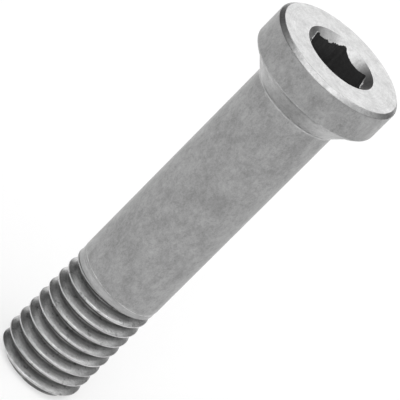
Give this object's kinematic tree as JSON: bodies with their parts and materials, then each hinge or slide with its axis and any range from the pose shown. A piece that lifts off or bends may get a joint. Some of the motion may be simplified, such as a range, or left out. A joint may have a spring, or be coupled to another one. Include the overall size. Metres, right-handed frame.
{
  "type": "shock bolt",
  "caption": "Socket-head shoulder bolt for a shock mount: low round head on a conical neck, long plain shank, short coarse thread with a lead.",
  "frame": {"origin": "middle of the flat end of the thread, which the bolt stands on", "axes": "+Z along the bolt from the threaded end to the face of the head"},
  "size_m": [0.0122, 0.0122, 0.0382],
  "materials": {
    "bolt_steel": "finely blasted satin on the sides, smoother turned face"
  },
  "bodies": {
    "root": {"shock_bolt": "bolt_steel"}
  },
  "joints": []
}
